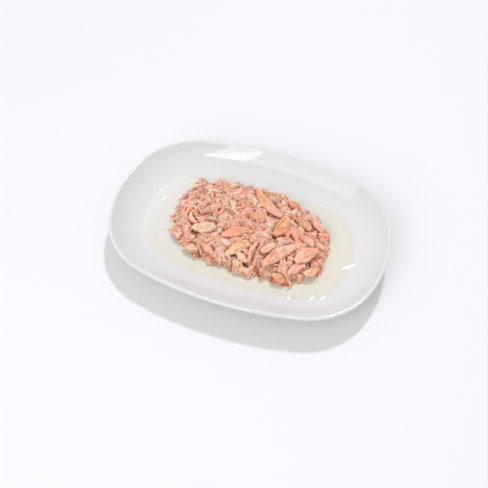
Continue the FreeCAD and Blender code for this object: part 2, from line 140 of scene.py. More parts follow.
def latticeNoise(x, y, cell, seed):
    # value noise in -1..1: random values on a lattice of that cell, joined by smoothstep
    table = np.random.default_rng(seed).uniform(-1, 1, (noiseCells, noiseCells))
    gx, gy = np.asarray(x) / cell + 10 * noiseCells, np.asarray(y) / cell + 10 * noiseCells
    ix, iy = np.floor(gx).astype(int), np.floor(gy).astype(int)
    fx, fy = gx - ix, gy - iy
    fx, fy = fx * fx * (3 - 2 * fx), fy * fy * (3 - 2 * fy)
    left, right = ix % noiseCells, (ix + 1) % noiseCells
    near, far = iy % noiseCells, (iy + 1) % noiseCells
    a, b, c, d = table[left, near], table[right, near], table[left, far], table[right, far]
    return (a * (1 - fx) + b * fx) * (1 - fy) + (c * (1 - fx) + d * fx) * fy


def smoothStep(low, high, value):
    # 0 below low, 1 above high, 3 t^2 - 2 t^3 between
    t = np.clip((value - low) / (high - low), 0, 1)
    return t * t * (3 - 2 * t)


# The dish: a profile carried round the rim's outline of eight tangent arcs
dish = {
    "sideArc": 274.0,        # radii of the rim's outline: long sides, ends, corners
    "endArc": 103.0,
    "cornerArc": 58.0,
    "wall": 3.0,             # wall thickness; the lip is fully rounded
    "basinDepth": 17.6,      # rim to floor
    "floorInset": 36.0,      # rim to the edge of the flat floor
    "floorThickness": 3.8,
    "footInset": 34.0,       # rim to the outside of the foot ring
    "footWidth": 4.0,
    "footRounding": 0.9,
    "recessRounding": 0.4,
    "middleInset": 46.0,     # inside this the floor is scaled down to its centre, by these shares
    "middleRings": (0.8, 0.55, 0.3, 0.12),
    "traceSteps": 7201,      # for measuring along the outline
    "aroundSteps": 384,
    "arcSteps": 26,
    "lipSteps": 15,
    "footSteps": 5,
}
dishLow, dishHigh = (np.array(corner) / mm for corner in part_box("dish"))
rimLength, rimWidth, rimTop = dishHigh
rimMiddle = (dishLow + dishHigh)[:2] / 2
floorLevel = rimTop - dish["basinDepth"]


def rimArcs():
    # middles and radii of the arcs in one quadrant; the corner arc's middle is where it touches both others
    endX, sideY = rimLength - dish["endArc"], rimWidth - dish["sideArc"]
    toSide, toEnd = dish["sideArc"] - dish["cornerArc"], dish["endArc"] - dish["cornerArc"]
    span = math.hypot(endX, sideY)
    along = (toSide ** 2 - toEnd ** 2 + span ** 2) / (2 * span)
    off = math.sqrt(toSide ** 2 - along ** 2)
    corner = ((along * endX - off * sideY) / span, sideY + (-along * sideY - off * endX) / span)
    return endX, sideY, corner


def outlinePoints(inset, normalAngle):
    # outline at a constant inset from the rim: middle of the arc + (radius - inset) * outward normal
    endX, sideY, corner = rimArcs()
    c, s = np.cos(normalAngle), np.sin(normalAngle)
    endTurn = math.atan2(corner[1], corner[0] - endX)
    sideTurn = math.atan2(corner[1] - sideY, corner[0])
    folded = np.arctan2(np.abs(s), np.abs(c))
    arc = np.digitize(folded, (endTurn, sideTurn))
    middleX = np.array([endX, corner[0], 0.0])[arc] * np.where(c < 0, -1, 1)
    middleY = np.array([0.0, corner[1], sideY])[arc] * np.where(s < 0, -1, 1)
    radius = np.array([dish["endArc"], dish["cornerArc"], dish["sideArc"]])[arc] - inset
    return middleX + radius * c, middleY + radius * s


def evenNormals(count):
    # normal angles whose points lie evenly spaced along the outline, closed
    fine = np.linspace(0, tau, dish["traceSteps"])
    x, y = outlinePoints(dish["floorInset"] / 2, fine)
    length = np.concatenate([[0], np.cumsum(np.hypot(np.diff(x), np.diff(y)))])
    return np.interp(np.arange(count) / count * length[-1], length, fine)


def wallCurve():
    # radius and turn of the wall's middle line: one arc, level at the floor and through the lip's middle
    lip = dish["wall"] / 2
    midRadius = ((dish["floorInset"] - lip) ** 2 + dish["basinDepth"] ** 2) / (2 * dish["basinDepth"])
    return midRadius, math.asin((dish["floorInset"] - lip) / midRadius)


def wallHeight(inset):
    # height of the basin's inner face at an inset from the rim
    radius = wallCurve()[0] - dish["wall"] / 2
    reach = np.clip(dish["floorInset"] - inset, 0, radius)
    return floorLevel + radius - np.sqrt(radius ** 2 - reach ** 2)


def dishProfile():
    # (inset, height) from the floor's middle over the wall and lip, down outside, under the foot ring
    midRadius, turn = wallCurve()
    lip, steps = dish["wall"] / 2, dish["arcSteps"]
    inner, outer = midRadius - lip, midRadius + lip
    centre = np.array([dish["floorInset"], floorLevel + inner])
    footTurn = math.asin((dish["floorInset"] - dish["footInset"]) / outer)
    up, down = np.linspace(0, turn, steps), np.linspace(turn, footTurn, steps)
    inside = centre + inner * np.stack([-np.sin(up), -np.cos(up)], -1)
    lipMiddle = centre + midRadius * np.array([-math.sin(turn), -math.cos(turn)])
    overTurn = turn + math.pi / 2 - np.linspace(0, math.pi, dish["lipSteps"])[1:-1]
    over = lipMiddle + lip * np.stack([-np.cos(overTurn), np.sin(overTurn)], -1)
    outside = centre + outer * np.stack([-np.sin(down), -np.cos(down)], -1)
    soft, quarter = dish["footRounding"], np.linspace(0, math.pi / 2, dish["footSteps"])
    footOut, footIn = dish["footInset"], dish["footInset"] + dish["footWidth"]
    heel = np.stack([footOut + soft * (1 - np.cos(quarter)), soft * (1 - np.sin(quarter))], -1)
    toe = np.stack([footIn - soft * (1 - np.sin(quarter)), soft * (1 - np.cos(quarter))], -1)
    recess, cove = floorLevel - dish["floorThickness"], dish["recessRounding"]
    floorEdge = np.array([[dish["middleInset"], floorLevel]])
    underEdge = np.array([[footIn, recess - cove], [footIn + cove, recess], [dish["middleInset"], recess]])
    return np.concatenate([floorEdge, inside, over, outside, heel, toe, underEdge])


def makeDish(material):
    # outline at each point of the profile, then both flat middles closed by smaller rings and a fan
    profile, normals = dishProfile(), evenNormals(dish["aroundSteps"])
    x, y = outlinePoints(profile[:, :1], normals[None, :])
    z = np.broadcast_to(profile[:, 1:], x.shape)
    rings = np.stack([x, y, z], -1)
    inward = np.array(dish["middleRings"])[:, None, None] * np.array([1, 1, 0]) + np.array([0, 0, 1])
    floorRings, underRings = rings[0] * inward, rings[-1] * inward
    rows = np.concatenate([floorRings[::-1], rings, underRings])
    count = rows.shape[1]
    poles = [[0, 0, rings[0, 0, 2]], [0, 0, rings[-1, 0, 2]]]
    points = np.concatenate([rows.reshape(-1, 3), poles])
    points[:, :2] += rimMiddle
    faces = shellFaces(1, len(rows), count, reverse=True)
    # the colour attribute is 1 on the basin's side, for the glaze under the broth
    basinRows = len(floorRings) + 1 + dish["arcSteps"]
    basin = np.zeros((len(points), 3))
    basin[:basinRows * count] = basin[-2] = 1
    return makePiece("porcelainDish", points, faces, material, None, basin)


# The heap's top surface, read from the CAD heap by rays cast straight down
heap = {
    "cell": 0.5,             # spacing of the height map
    "margin": 6,             # how far it reaches past the heap
    "least": 0.6,            # height over the floor that counts as heap
    "coverBlur": 2,          # passes of the small blur over where the heap is, to find its edge
    "wideBlur": 4,           # the same, for how near the edge a flake may lie
    "smoothing": 5,          # and over its heights, to take the CAD flakes off the mound
    "farthest": 90,          # no part of the edge is this far from the middle
    "around": 760,
    "out": 130,
    "edgeInset": 1.0,        # the mass keeps this far inside the CAD heap's outline
    "coarseAxis": (0.8, -0.6),
    "coarseHalf": 50,        # from the middle to where the flakes are wholly fine or wholly coarse
}
heapLow, heapHigh = (np.array(corner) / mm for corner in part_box("flake_heap"))
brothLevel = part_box("broth")[1][2] / mm


def castHeights(nodeName):
    # top surface of a CAD node over a grid round the heap; floor level where there is none
    margin, cell = heap["margin"], heap["cell"]
    gridX = np.arange(heapLow[0] - margin, heapHigh[0] + margin, cell)
    gridY = np.arange(heapLow[1] - margin, heapHigh[1] + margin, cell)
    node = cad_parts[nodeName]
    mesh = node.data
    tree = BVHTree.FromPolygons([v.co for v in mesh.vertices], [p.vertices for p in mesh.polygons])
    down, heights = Vector((0, 0, -1)), np.full((len(gridX), len(gridY)), floorLevel)
    for i, x in enumerate(gridX):
        for j, y in enumerate(gridY):
            hit = tree.ray_cast(Vector((x * mm, y * mm, 0.1)), down)[0]
            if hit is not None:
                heights[i, j] = hit.z / mm
    return gridX, gridY, heights


def blur(field, passes):
    # mean of five neighbours along x, then along y, a few times over
    for _ in range(passes):
        padded = np.pad(field, 2, mode="edge")
        field = sum(padded[k:k + field.shape[0], 2:-2] for k in range(5)) / 5
        padded = np.pad(field, 2, mode="edge")
        field = sum(padded[2:-2, k:k + field.shape[1]] for k in range(5)) / 5
    return field


gridX, gridY, topHeights = castHeights("flake_heap")
inHeap = (topHeights > floorLevel + heap["least"]).astype(float)
cover = blur(inHeap, heap["coverBlur"])
wideCover = blur(inHeap, heap["wideBlur"])
moundMap = blur(topHeights, heap["smoothing"])
slopeX, slopeY = np.gradient(moundMap, heap["cell"])
heapMiddle = np.array([(gridX[:, None] * inHeap).sum(), (gridY[None, :] * inHeap).sum()])
heapMiddle = heapMiddle / inHeap.sum()


def readMap(field, x, y):
    # bilinear reading of a height map
    gx = np.clip((x - gridX[0]) / heap["cell"], 0, len(gridX) - 1.001)
    gy = np.clip((y - gridY[0]) / heap["cell"], 0, len(gridY) - 1.001)
    ix, iy = gx.astype(int), gy.astype(int)
    fx, fy = gx - ix, gy - iy
    low = field[ix, iy] * (1 - fx) + field[ix + 1, iy] * fx
    high = field[ix, iy + 1] * (1 - fx) + field[ix + 1, iy + 1] * fx
    return low * (1 - fy) + high * fy


def heapReach(angles):
    # distance from the heap's middle to its edge in each direction, from the height map
    out = np.linspace(0, heap["farthest"], 4 * heap["farthest"] + 1)
    x = heapMiddle[0] + out[None, :] * np.cos(angles)[:, None]
    y = heapMiddle[1] + out[None, :] * np.sin(angles)[:, None]
    inside = readMap(cover, x, y) > 0.5
    return out[inside.shape[1] - 1 - np.argmax(inside[:, ::-1], axis=1)]


print("height map of the heap:", topHeights.shape, "area mm2:", round(inHeap.sum() * heap["cell"] ** 2))


# Flakes: closed slabs of parallel fibres, broken off along an uneven polygon and cleft where they part
slab = {
    "corners": 7,
    "cornerJitter": 0.32,    # in steps from corner to corner, then the shift of all of them together
    "cornerShift": 0.65,
    "setCornerJitter": 0.2,  # radians, where the corners are given
    "cornerReach": (0.80, 1.06),
    "power": (2.4, 4.6),     # plan between an ellipse (2) and a rectangle
    "waves": (3, 5, 9, 14),  # waves round the torn edge
    "endWidth": (0.45, 1.0),
    "underFlat": 0.7,
    "fibreSpacing": (0.8, 1.5),
    "cleftSpacing": (5.5, 10.0),
    "cleftWidth": 0.07,
    "cleftDrop": 0.4,        # shares of the thickness
    "layerRise": 0.3,
    "swayAndLean": (0.16, 0.25),
}


def planReach(rng, count, turn, cornerTurns=None):
    # distance from the middle to the edge of a polygon, one row for each slab, in shares of its half sizes
    # its corners lie on |x|^power + |y|^power = 1, pulled in or out a little
    if cornerTurns is None:
        corners, jitter = slab["corners"], slab["cornerJitter"]
        at = np.arange(corners) + rng.uniform(-jitter, jitter, (count, corners))
        at = (at + rng.uniform(0, slab["cornerShift"], (count, 1))) / corners * tau
    else:
        corners, jitter = len(cornerTurns), slab["setCornerJitter"]
        at = np.radians(cornerTurns) + rng.uniform(-jitter, jitter, (count, corners))
    power = rng.uniform(*slab["power"], (count, 1))
    radius = (np.abs(np.cos(at)) ** power + np.abs(np.sin(at)) ** power) ** (-1 / power)
    radius = radius * rng.uniform(*slab["cornerReach"], (count, corners))
    x, y = radius * np.cos(at), radius * np.sin(at)
    sector = (turn[None, :, None] >= at[:, None, :]).sum(-1) - 1
    first, second = sector % corners, (sector + 1) % corners
    row = np.arange(count)[:, None]
    sideX, sideY = x[row, second] - x[row, first], y[row, second] - y[row, first]
    across = np.cos(turn) * sideY - np.sin(turn) * sideX
    return (x[row, first] * sideY - y[row, first] * sideX) / across


def slabPoints(rng, sizes, rows, columns, fibre, ragged, cleft=0.0, ends=None, curl=0.35, dent=0.16,
               shoulders=(2.6, 5.0), cornerTurns=None, slants=(-1.5, 1.5), cleftSpacing=None):
    # sizes: length, width, thickness of each slab; returns slabs x rows x columns points, fibre uv, and a
    # relief value that paints light and shade into the colour; rows run from the middle of the top over the
    # edge to the middle underneath
    # top = thickness * (1 - out^shoulder)^0.6 * (1 + layers - clefts + dents) + strands, then bent
    count, each = len(sizes), (len(sizes), 1, 1)
    length, width, thick = (sizes[:, k, None, None] / 2 for k in range(3))
    turn = tau - (np.arange(columns) + 0.5) / columns * tau
    reach = planReach(rng, count, turn, cornerTurns)
    for wave in slab["waves"]:
        if wave * 2.4 < columns:
            torn = np.sin(wave * turn + rng.uniform(0, tau, (count, 1))) / wave ** 0.4
            reach = reach * (1 + ragged * torn)
    over = max(rows * 2 // 3, 2)
    outTop, outUnder = np.linspace(0, 1, over + 1)[1:], np.linspace(1, 0, rows - over + 2)[1:-1]
    out = np.concatenate([outTop ** 0.75, outUnder ** 0.6])
    isTop = np.arange(rows) < over
    out, isTop = out[None, :, None], isTop[None, :, None]
    u, v = out * reach[:, None] * np.cos(turn), out * reach[:, None] * np.sin(turn)
    if ends is None:
        start, stop = (rng.uniform(*slab["endWidth"], each) for _ in range(2))
    else:
        start, stop = np.full(each, ends[0]), np.full(each, ends[1])
    toEnd = np.abs(u) ** 1.3
    taper = np.where(u < 0, 1 + (start - 1) * toEnd, 1 + (stop - 1) * toEnd)
    x, y = length * u, width * v * taper
    shoulder = rng.uniform(*shoulders, each)
    body = np.clip(1 - out ** shoulder, 0, 1) ** 0.6
    spacing = rng.uniform(*slab["fibreSpacing"], each)
    wander = 0.35 * np.sin(1.7 * u + rng.uniform(0, tau, each))
    wander = wander + 0.2 * np.sin(4.1 * u + rng.uniform(0, tau, each))
    strand = np.abs(np.sin(math.pi * y / spacing + 2 * wander + rng.uniform(0, tau, each)))
    slant, gap = rng.uniform(*slants, each), rng.uniform(*(cleftSpacing or slab["cleftSpacing"]), each)
    bent = 0.9 * np.sin(0.45 * x + rng.uniform(0, tau, each))
    bent = bent + 0.7 * np.sin(0.8 * y + rng.uniform(0, tau, each))
    line = (x * np.cos(slant) + y * np.sin(slant) + 1.2 * bent) / gap + rng.uniform(0, 1, each)
    parting = np.exp(-((line - np.round(line)) / slab["cleftWidth"]) ** 2)
    layer = np.sin(np.round(line) * 2.4 + rng.uniform(0, tau, each))
    dents = dent * np.sin(1.1 * x + bent + rng.uniform(0, tau, each))
    dents = dents * np.sin(1.6 * y + 1.3 * bent + rng.uniform(0, tau, each))
    steps = cleft * (slab["layerRise"] * layer - slab["cleftDrop"] * parting)
    top = thick * body * (1 + steps + dents)
    top = top + fibre * (strand - 0.6) * body * (0.6 + 3 * dents)
    z = np.where(isTop, top, -thick * slab["underFlat"] * np.clip(1 - out ** 2, 0, 1) ** 0.5)
    bend, sway, lean = (rng.normal(0, spread, each) for spread in (curl, *slab["swayAndLean"]))
    z = z - bend * thick * u ** 2 + lean * thick * u
    y = y + sway * np.minimum(length, 3 * width) * (u ** 2 - 0.3)
    points = np.stack(np.broadcast_arrays(x, y, z), -1)
    uv = np.stack(np.broadcast_arrays(x, y + np.where(isTop, 0, 3.0)), -1)
    # painted light and shade: strands, raised layers, dents and the top's rim lighter, partings darker, the
    # whole underside darker
    reliefShade = 0.3 * (strand - 0.6) - (0.2 + 0.8 * cleft) * parting * body + 0.12 * layer + dents
    reliefShade = np.where(isTop, reliefShade + 0.3 * smoothStep(0.5, 1.0, out), -0.6)
    return points, uv, np.broadcast_to(reliefShade, x.shape)


def closeShells(*fields):
    # adds the pole points at both ends of every shell, to its points and to whatever goes with them
    closed = []
    for field in fields:
        poles = field[:, (0, -1)].mean(axis=2)
        closed.append(np.concatenate([field.reshape(len(field), -1, *field.shape[3:]), poles], 1))
    return closed


def axesFrom(yaw, along, across):
    # rotation of each flake: turned about z, then tilted along and across its length; angles in radians
    cy, sy, ca, sa = np.cos(yaw), np.sin(yaw), np.cos(along), np.sin(along)
    cr, sr = np.cos(across), np.sin(across)
    xAxis = np.stack([cy * ca, sy * ca, sa], -1)
    flatY = np.stack([-sy, cy, np.zeros_like(yaw)], -1)
    upZ = np.cross(xAxis, flatY)
    yAxis = flatY * cr[:, None] + upZ * sr[:, None]
    return np.stack([xAxis, yAxis, np.cross(xAxis, yAxis)], 1)


fleshTones = {
    "pink": "#F1B99C", "palePink": "#F7CDB5", "brightPink": "#F8C0AF", "cream": "#F6D5B8",
    "orange": "#F0B68B", "brown": "#E2AD88", "greyPink": "#E4B8A3", "deepPink": "#E99F87",
}
toneTable = np.array([hexToLinear(code) for code in fleshTones.values()])
brightness = (0.9, 1.1)      # from flake to flake

# the small flakes: first how many, their sizes and mesh; then their surface, lift over the mound and tilt;
# then where they lie: how coarse the heap is there, how near its edge, how clear of the large flakes
flakeKinds = {
    "mediumFlakes": dict(
        seed=300, count=150, length=(6.5, 12.5), width=(3.2, 6.0), thick=(1.8, 3.4), rows=15, columns=26,
        fibre=0.16, ragged=0.06, cleft=0.8, curl=0.4, lift=(-1.3, 0.5), tilt=15,
        coarse=0.8, edge=(0.97, 1.1), clear=1.3,
    ),
    "smallFlakes": dict(
        seed=301, count=260, length=(3.4, 7.5), width=(1.7, 3.4), thick=(1.1, 2.2), rows=9, columns=16,
        fibre=0.1, ragged=0.08, cleft=0.5, curl=0.5, lift=(-1.0, 0.7), tilt=22,
        coarse=0.4, edge=(0.85, 1.1), clear=1.0,
    ),
    "shreds": dict(
        seed=302, count=420, length=(2.6, 7.0), width=(0.6, 1.3), thick=(0.5, 1.0), rows=6, columns=10,
        fibre=0.0, ragged=0.08, cleft=0.0, curl=1.2, lift=(-0.7, 0.9), tilt=26,
        coarse=0.15, edge=(0.75, 1.1), clear=1.1,
    ),
    "edgeShreds": dict(
        seed=303, count=300, length=(2.4, 6.5), width=(0.7, 1.7), thick=(0.6, 1.2), rows=6, columns=12,
        fibre=0.0, ragged=0.09, cleft=0.0, curl=0.8, lift=(-0.6, 0.6), tilt=20,
        coarse=0.5, edge=(0.28, 0.86), clear=1.0,
    ),
    "paleCurls": dict(
        seed=304, count=110, length=(4.0, 9.0), width=(0.4, 0.8), thick=(0.35, 0.6), rows=6, columns=20,
        fibre=0.0, ragged=0.03, cleft=0.0, curl=4.0, lift=(-0.2, 1.0), tilt=20,
        coarse=0.8, edge=(0.55, 0.99), clear=1.1, tone="palePink", bright=1.08,
    ),
}


laying = {
    "pool": 8,               # places tried for each flake
    "choosy": 0.9,           # how strictly a kind keeps to its own coarseness
    "followSlope": 0.8,
    "endTilt": 0.6,          # tilt towards an end, as a share of the tilt towards a side
    "sink": 0.15,            # shares of the thickness
    "aboveFloor": 0.4,
    "floorBite": 0.2,
}


def coarseness(x, y):
    # 0 at the far left of the heap, where it is finely shredded, to 1 at the near right, where it is chunky
    axisX, axisY = heap["coarseAxis"]
    along = ((x - heapMiddle[0]) * axisX + (y - heapMiddle[1]) * axisY) / heap["coarseHalf"]
    return np.clip(0.5 + 0.5 * along, 0, 1)


def largeFrames():
    # middle, axes and sizes of every large CAD flake, from the spread of its own vertices
    found = {}
    for name in sorted(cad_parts):
        if not name.startswith("large_flake"):
            continue
        points = np.array([v.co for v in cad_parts[name].data.vertices]) / mm
        middle = (points.min(0) + points.max(0)) / 2
        _, axes = np.linalg.eigh(np.cov((points - points.mean(0)).T))
        axes = axes[:, ::-1].T
        axes[0] *= np.sign(axes[0, 0])
        axes[2] *= np.sign(axes[2, 2])
        axes[1] = np.cross(axes[2], axes[0])
        local = (points - middle) @ axes.T
        centre = (local.min(0) + local.max(0)) / 2
        found[name] = (middle + centre @ axes, axes, local.max(0) - local.min(0))
    return found


largeOnes = largeFrames()


def besideLarge(x, y):
    # 0 in the middle of a large flake's footprint, 1 at its edge, more outside: the least over all of them
    least = np.full(np.shape(x), 9.0)
    for middle, axes, size in largeOnes.values():
        flat = np.stack([x - middle[0], y - middle[1]], -1)
        along, across = flat @ axes[0, :2], flat @ axes[1, :2]
        least = np.minimum(least, (2 * along / size[0]) ** 2 + (2 * across / size[1]) ** 2)
    return least


def toneFor(rng, x, y):
    # index of a tone: pinks everywhere, brownish orange in patches along the far side and the middle
    patch = latticeNoise(x, y, cell=14, seed=21) * 0.6 + latticeNoise(x, y, cell=6, seed=22) * 0.4
    warm = smoothStep(0.0, 0.6, patch) * 0.55
    fine = 1 - coarseness(x, y)
    # how common each tone is, in the order of fleshTones
    weights = np.stack(np.broadcast_arrays(
        1.6, 1.2, 0.25, 0.4 + warm, 0.1 + warm * 1.2, 0.12 + 0.5 * fine * warm, 0.45 + 0.8 * fine, 0.35
    ), -1)
    limits = np.cumsum(weights, -1) / weights.sum(-1, keepdims=True)
    return (rng.uniform(size=(len(x), 1)) > limits).sum(-1)


def paintedShadePower(colour, amount):
    # painted shade: the colour raised to a power, which darkens it and makes it redder
    return colour ** (1 + amount)


# painted light and shade on the flesh: darker with depth below the mound, lighter or darker by relief
paintedShading = {"depths": (0.2, 3.0), "byDepth": 0.9, "byRelief": 0.45, "limits": (-0.35, 1.4)}


def shadeFlesh(base, reliefShade, depth):
    # painted light and shade: ridges lighter, partings and what lies deep darker and redder
    amount = paintedShading["byDepth"] * smoothStep(*paintedShading["depths"], depth) - paintedShading["byRelief"] * reliefShade
    return paintedShadePower(base, np.clip(amount, *paintedShading["limits"])[..., None])


def makeFlakes(name, material):
    # one kind of small flakes, laid over the mound along its slope and joined into one piece
    kind = flakeKinds[name]
    rng = np.random.default_rng(kind["seed"])
    pool = kind["count"] * laying["pool"]
    x = rng.uniform(heapLow[0], heapHigh[0], pool)
    y = rng.uniform(heapLow[1], heapHigh[1], pool)
    want = 1 - np.abs(coarseness(x, y) - kind["coarse"]) * laying["choosy"]
    inside = readMap(wideCover, x, y)
    keep = (inside > kind["edge"][0]) & (inside < kind["edge"][1])
    keep = keep & (besideLarge(x, y) > kind["clear"]) & (rng.uniform(size=pool) < want)
    x, y = x[keep][:kind["count"]], y[keep][:kind["count"]]
    count = len(x)
    sizes = np.stack([rng.uniform(*kind[side], count) for side in ("length", "width", "thick")], -1)
    shape = {key: kind[key] for key in ("rows", "columns", "fibre", "ragged", "cleft", "curl")}
    points, uv, reliefShade = closeShells(*slabPoints(rng, sizes, **shape))
    yaw = rng.uniform(0, tau, count)
    sx, sy = readMap(slopeX, x, y), readMap(slopeY, x, y)
    tilt, follow = math.radians(kind["tilt"]), laying["followSlope"]
    along = np.arctan(sx * np.cos(yaw) + sy * np.sin(yaw)) * follow
    along = along + rng.normal(0, tilt * laying["endTilt"], count)
    across = np.arctan(-sx * np.sin(yaw) + sy * np.cos(yaw)) * follow + rng.normal(0, tilt, count)
    axes = axesFrom(yaw, along, across)
    z = readMap(moundMap, x, y) + rng.uniform(*kind["lift"], count) - sizes[:, 2] * laying["sink"]
    z = np.maximum(z, floorLevel + sizes[:, 2] * laying["aboveFloor"])
    placed = points @ axes + np.stack([x, y, z], -1)[:, None]
    placed[..., 2] = np.maximum(placed[..., 2], floorLevel - laying["floorBite"])
    base = toneTable[toneFor(rng, x, y)] * rng.uniform(*brightness, (count, 1))
    if "tone" in kind:
        base = np.repeat(hexToLinear(fleshTones[kind["tone"]])[None] * kind["bright"], count, 0)
    # painted shade: what lies below the mound's surface is darker and redder, as are partings and the
    # underside
    depth = readMap(moundMap, placed[..., 0], placed[..., 1]) - placed[..., 2]
    colour = shadeFlesh(base[:, None], reliefShade, depth)
    faces = shellFaces(count, kind["rows"], kind["columns"])
    return makePiece(name, placed, faces, material, uv, colour)


# The mass: overlapping chunks pressed into one height field, each with fibres along its own length
mass = {
    "seed": 311,
    "cell": 0.3,             # spacing of the height field, and how far it reaches past the heap
    "margin": 3,
    # number, length, width and height in millimetres, how deep they sit, and where they are common
    "chunks": (
        (330, (8.0, 16.0), (4.5, 8.5), (3.4, 5.8), (-5.4, -2.2), 0.8),
        (520, (5.0, 10.0), (2.6, 5.2), (2.6, 4.4), (-4.4, -1.6), 0.45),
        (700, (2.6, 6.0), (1.1, 2.2), (1.4, 2.8), (-2.4, -0.2), 0.1),
    ),
    "wellInside": 0.9,       # share of heap round a chunk's middle
    "chunkWaves": (2, 3, 5, 8),
    "ragged": 0.13,
    "fibreSpacing": (0.9, 1.7),
    "fibreDepth": 0.2,
    "baseDrop": 3.2,         # from the mound down to the rough bed between the chunks
    "baseRough": 0.6,
    "chunkDrop": 0.6,
    "bed": 2.0,              # the mass lies this much lower under the large flakes
    "hollowBlur": 5,
    "shoulder": 2.0,         # over this width its edge comes down to the floor
    "footing": 0.3,          # how deep its flat underside lies within the dish's floor
    # painted shade: crevices darker and redder, and the heap lighter inside than at its low edge
    "paintedCreviceShade": 2.1,        # in crevices
    "paintedLightInside": 0.3,   # away from its edge
}


def pressChunks():
    # height, colour and fibre coordinates over a fine grid: each chunk's top where it is the highest
    # top = tall * (1 - away^3.2) + fibres + sink + tilt, away being 1 at the chunk's ragged edge
    cell = mass["cell"]
    fineX = np.arange(heapLow[0] - mass["margin"], heapHigh[0] + mass["margin"], cell)
    fineY = np.arange(heapLow[1] - mass["margin"], heapHigh[1] + mass["margin"], cell)
    gx, gy = np.broadcast_arrays(fineX[:, None], fineY[None, :])
    mound = readMap(moundMap, gx, gy) - mass["bed"] * smoothStep(1.9, 0.8, besideLarge(gx, gy))
    height = mound - mass["baseDrop"] + mass["baseRough"] * latticeNoise(gx, gy, cell=2.3, seed=5)
    # the bed, seen only in the gaps between chunks, is deep pink: painted shade in the crevices
    colour = np.empty((*gx.shape, 3))
    colour[:] = hexToLinear(fleshTones["deepPink"])
    fibre = np.stack([gx, gy], -1)
    rng = np.random.default_rng(mass["seed"])
    for number, lengths, widths, heights, sinks, coarse in mass["chunks"]:
        x = rng.uniform(heapLow[0], heapHigh[0], number * 5)
        y = rng.uniform(heapLow[1], heapHigh[1], number * 5)
        want = 1 - np.abs(coarseness(x, y) - coarse) * 1.1
        keep = (readMap(cover, x, y) > mass["wellInside"]) & (rng.uniform(size=len(x)) < want)
        x, y = x[keep][:number], y[keep][:number]
        tones = toneTable[toneFor(rng, x, y)] * rng.uniform(*brightness, (len(x), 1))
        for k in range(len(x)):
            length, width = rng.uniform(*lengths) / 2, rng.uniform(*widths) / 2
            tall, sink, yaw = rng.uniform(*heights), rng.uniform(*sinks), rng.uniform(0, tau)
            reach = int(max(length, width) * 1.25 / cell) + 1
            i, j = int((x[k] - fineX[0]) / cell), int((y[k] - fineY[0]) / cell)
            window = np.s_[max(i - reach, 0):i + reach, max(j - reach, 0):j + reach]
            dx, dy = gx[window] - x[k], gy[window] - y[k]
            along = (dx * math.cos(yaw) + dy * math.sin(yaw)) / length
            across = (-dx * math.sin(yaw) + dy * math.cos(yaw)) / width
            across = across + rng.normal(0, 0.25) * along ** 2 + rng.normal(0, 0.3) * along
            turn = np.arctan2(across, along)
            ragged = sum(np.sin(n * turn + rng.uniform(0, tau)) * mass["ragged"] / n ** 0.5
                         for n in mass["chunkWaves"])
            power = rng.uniform(2.2, 4.0)
            away = (np.abs(along) ** power + np.abs(across) ** power) ** (1 / power) * (1 + ragged)
            spacing = rng.uniform(*mass["fibreSpacing"])
            strands = np.abs(np.sin(across * width / spacing * math.pi + 0.8 * np.sin(along * 2.2)))
            top = tall * (1 - np.clip(away, 0, 1) ** 3.2)
            top = top + mass["fibreDepth"] * strands * min(tall, 2) + sink
            top = top + tall * (rng.normal(0, 0.22) * along + rng.normal(0, 0.3) * across)
            top = np.where(away < 1, top + mound[window] - mass["chunkDrop"], -99)
            higher = top > height[window]
            height[window] = np.where(higher, top, height[window])
            # painted light and shade: fibre ridges a little lighter, the grooves between them darker
            strandShade = tones[k] * (1 + 0.12 * (strands[..., None] - 0.6))
            colour[window] = np.where(higher[..., None], strandShade, colour[window])
            lines = np.stack([along * length + 7 * k, across * width], -1)
            fibre[window] = np.where(higher[..., None], lines, fibre[window])
    return fineX, fineY, height, colour, fibre


def nearestRead(field, fineX, fineY, x, y):
    # the fine grid's own value nearest to each place
    i = np.clip(((x - fineX[0]) / mass["cell"]).round().astype(int), 0, len(fineX) - 1)
    j = np.clip(((y - fineY[0]) / mass["cell"]).round().astype(int), 0, len(fineY) - 1)
    return field[i, j]


def makeHeapMass(material):
    # polar grid over the height field, closed underneath; painted shade makes crevices darker and redder,
    # and the low edge darker than the inside
    fineX, fineY, height, colour, fibre = pressChunks()
    hollow = blur(height, mass["hollowBlur"]) - height
    angles = np.arange(heap["around"]) / heap["around"] * tau
    reach = heapReach(angles) - heap["edgeInset"]
    share = np.sqrt(np.linspace(0.00005, 1, heap["out"]))[:, None]
    x = heapMiddle[0] + share * reach * np.cos(angles)
    y = heapMiddle[1] + share * reach * np.sin(angles)
    z = nearestRead(height, fineX, fineY, x, y)
    edge = (1 - share) * reach
    down = np.clip(edge / mass["shoulder"] + 0.05, 0, 1) ** 0.5
    z = floorLevel + np.maximum(z - floorLevel, 0.1) * down
    # painted shade in the hollows and along the low edge
    heapShade = mass["paintedCreviceShade"] * smoothStep(-0.5, 1.5, nearestRead(hollow, fineX, fineY, x, y))
    heapShade = heapShade - mass["paintedLightInside"] * smoothStep(0.5, 5.0, edge)
    shadedColour = paintedShadePower(nearestRead(colour, fineX, fineY, x, y), heapShade[..., None])
    lines = nearestRead(fibre, fineX, fineY, x, y)
    count, under = len(angles), floorLevel - mass["footing"]
    foot = np.stack([x[-1], y[-1], np.full(count, under)], -1)
    rows = np.concatenate([np.stack([x, y, z], -1), foot[None]])
    points = np.concatenate([rows.reshape(-1, 3), [[*heapMiddle, z[0].mean()], [*heapMiddle, under]]])
    faces = shellFaces(1, len(rows), count, reverse=True)
    # the foot's ring and the two poles repeat the edge's and the middle's values
    uv = np.concatenate([lines.reshape(-1, 2), lines[-1], lines[0, :2]])
    colours = np.concatenate([shadedColour.reshape(-1, 3), shadedColour[-1], shadedColour[0, :2]])
    return makePiece("heapMass", points, faces, material, uv, colours)


